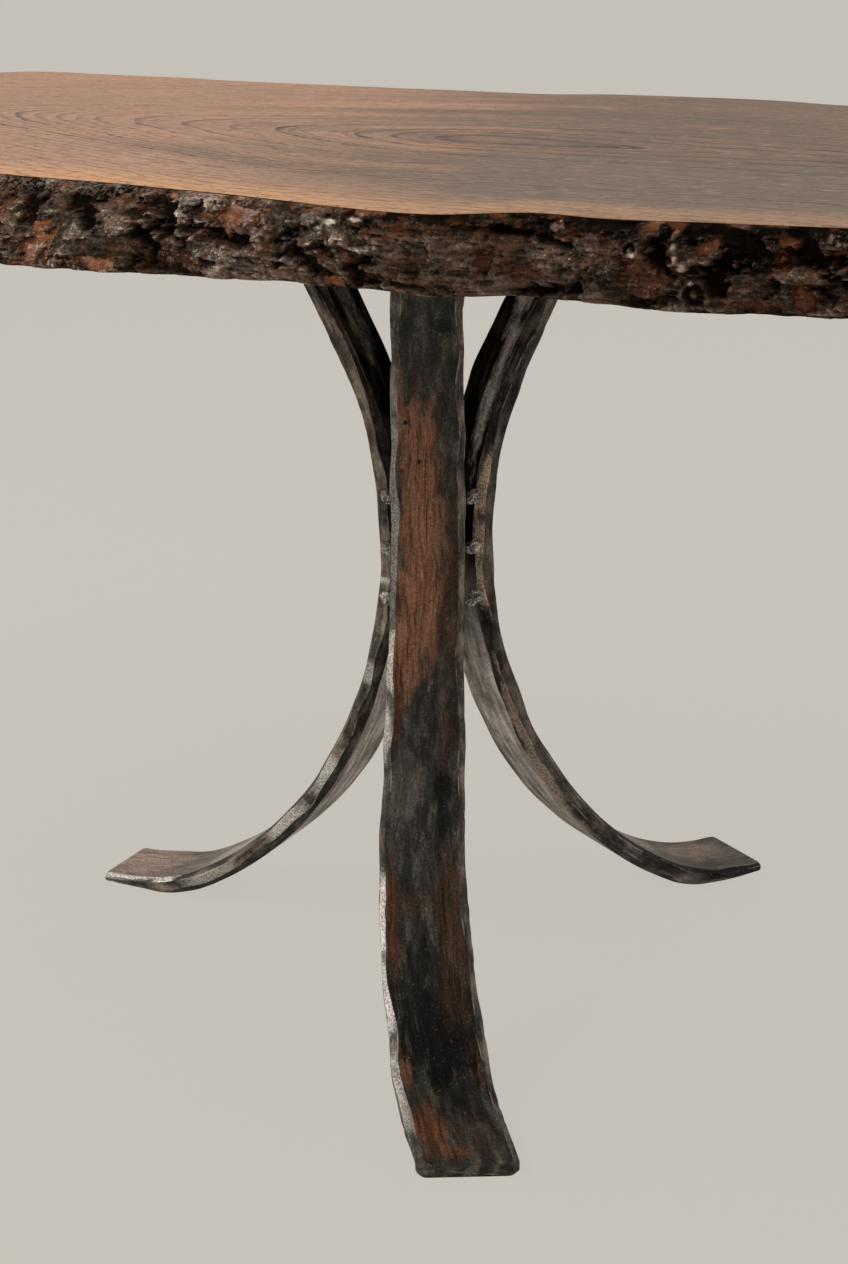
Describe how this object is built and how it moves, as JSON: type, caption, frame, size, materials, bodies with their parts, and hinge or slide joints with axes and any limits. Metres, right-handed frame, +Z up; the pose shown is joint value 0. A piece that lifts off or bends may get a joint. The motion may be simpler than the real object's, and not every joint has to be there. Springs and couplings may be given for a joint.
{
  "type": "dining table",
  "caption": "Live edge dining table: a walnut slab with bark along its long edges, on a tripod of forged flat steel bars bent like an hourglass and welded at the waist.",
  "frame": {"origin": "on the floor, under the middle of the table's bounding box", "axes": "+X along the slab, towards its narrower end; +Y across the slab, from the front edge to the rear edge; +Z up"},
  "size_m": [1.83, 1.018, 0.762],
  "materials": {
    "walnut": "planed and oiled walnut, satin",
    "bark": "dark fissured bark, sealed",
    "forged_steel": "hammered steel with a dark brown heat patina, waxed",
    "weld_metal": "wire-brushed weld metal",
    "zinc_steel": "zinc plated",
    "brass": "plain turned brass"
  },
  "bodies": {
    "root": {"slab_top": "walnut", "front_bark": "bark", "rear_bark": "bark", "front_leg": "forged_steel", "right_leg": "forged_steel", "left_leg": "forged_steel", "front_right_weld_lower": "weld_metal", "front_right_weld_middle": "weld_metal", "front_right_weld_upper": "weld_metal", "right_left_weld_lower": "weld_metal", "right_left_weld_middle": "weld_metal", "right_left_weld_upper": "weld_metal", "left_front_weld_lower": "weld_metal", "left_front_weld_middle": "weld_metal", "left_front_weld_upper": "weld_metal", "front_inner_bolt": "zinc_steel", "front_outer_bolt": "zinc_steel", "right_inner_bolt": "zinc_steel", "right_outer_bolt": "zinc_steel", "left_inner_bolt": "zinc_steel", "left_outer_bolt": "zinc_steel", "front_inner_washer": "zinc_steel", "front_outer_washer": "zinc_steel", "right_inner_washer": "zinc_steel", "right_outer_washer": "zinc_steel", "left_inner_washer": "zinc_steel", "left_outer_washer": "zinc_steel", "front_inner_insert": "brass", "front_outer_insert": "brass", "right_inner_insert": "brass", "right_outer_insert": "brass", "left_inner_insert": "brass", "left_outer_insert": "brass"}
  },
  "joints": []
}
